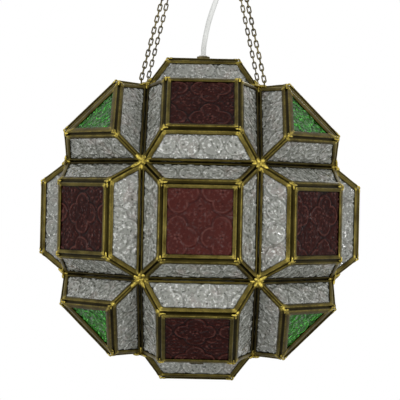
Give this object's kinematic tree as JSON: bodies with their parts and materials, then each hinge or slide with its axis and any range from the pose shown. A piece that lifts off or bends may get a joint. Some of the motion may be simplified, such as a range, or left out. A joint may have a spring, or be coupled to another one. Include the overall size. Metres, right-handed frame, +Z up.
{
  "type": "glass pendant lantern",
  "caption": "Faceted pendant lantern of clear, red and green glass in brass came, hung on chains from a ceiling hook and canopy, with a hinged door underneath and a lamp inside.",
  "frame": {"origin": "middle of the ceiling strap's upper face, on the ceiling", "axes": "+Z up out of the ceiling face, -Y to the picture's side of the lantern, +X to the right as pictured"},
  "size_m": [0.3766, 0.3766, 0.724],
  "materials": {
    "brass": "antique, dull, brighter at the solder",
    "red_glass": "pressed texture, deep burgundy",
    "green_glass": "hammered texture",
    "clear_glass": "pressed texture, clear to silver-grey",
    "steel": "zinc plated",
    "black_plastic": "moulded",
    "white_plastic": "moulded",
    "bulb_glass": "frosted",
    "flex": "smooth white round flex"
  },
  "bodies": {
    "root": {"ceiling_strap": "steel", "ceiling_hook": "brass", "canopy": "brass", "canopy_bush": "white_plastic", "cord": "flex"},
    "lantern": {"came_frame": "brass", "clear_panes_front": "clear_glass", "clear_panes_right": "clear_glass", "clear_panes_rear": "clear_glass", "clear_panes_left": "clear_glass", "clear_panes_upper_front": "clear_glass", "clear_panes_upper_right": "clear_glass", "clear_panes_upper_rear": "clear_glass", "clear_panes_upper_left": "clear_glass", "clear_panes_lower_front": "clear_glass", "clear_panes_lower_right": "clear_glass", "clear_panes_lower_rear": "clear_glass", "clear_panes_lower_left": "clear_glass", "clear_panes_top": "clear_glass", "red_pane_front": "red_glass", "red_pane_front_right": "red_glass", "red_pane_right": "red_glass", "red_pane_rear_right": "red_glass", "red_pane_rear": "red_glass", "red_pane_rear_left": "red_glass", "red_pane_left": "red_glass", "red_pane_front_left": "red_glass", "red_pane_upper_front": "red_glass", "red_pane_upper_right": "red_glass", "red_pane_upper_rear": "red_glass", "red_pane_upper_left": "red_glass", "red_pane_lower_front": "red_glass", "red_pane_lower_right": "red_glass", "red_pane_lower_rear": "red_glass", "red_pane_lower_left": "red_glass", "green_pane_upper_front_right": "green_glass", "green_pane_upper_rear_right": "green_glass", "green_pane_upper_rear_left": "green_glass", "green_pane_upper_front_left": "green_glass", "green_pane_lower_front_right": "green_glass", "green_pane_lower_rear_right": "green_glass", "green_pane_lower_rear_left": "green_glass", "green_pane_lower_front_left": "green_glass", "top_plate": "brass", "nipple": "brass", "top_nut": "brass", "cord_bush": "white_plastic", "lampholder": "black_plastic", "hinge_pin": "brass", "chain_front_left": "brass", "chain_front_right": "brass", "chain_rear_left": "brass", "chain_rear_right": "brass", "top_ring": "brass"},
    "door": {"door_frame": "brass", "door_clear_panes": "clear_glass", "door_red_pane": "red_glass", "door_catch": "brass"},
    "bulb": {"bulb_cap": "steel", "bulb_glass": "bulb_glass"}
  },
  "joints": [
    {"name": "lantern_swing", "type": "hinge", "parent": "root", "child": "lantern", "pos_m": [0, 0, -0.062], "axis": [0, 1, 0], "range_deg": [-20, 20], "deforming": ["cord"]},
    {"name": "door_hinge", "type": "hinge", "parent": "lantern", "child": "door", "pos_m": [0, 0.06648, -0.69621], "axis": [1, 0, 0], "range_deg": [0, 90]},
    {"name": "bulb_slide", "type": "slide", "parent": "lantern", "child": "bulb", "axis": [0, 0, -1], "range_m": [0, 0.03]}
  ]
}
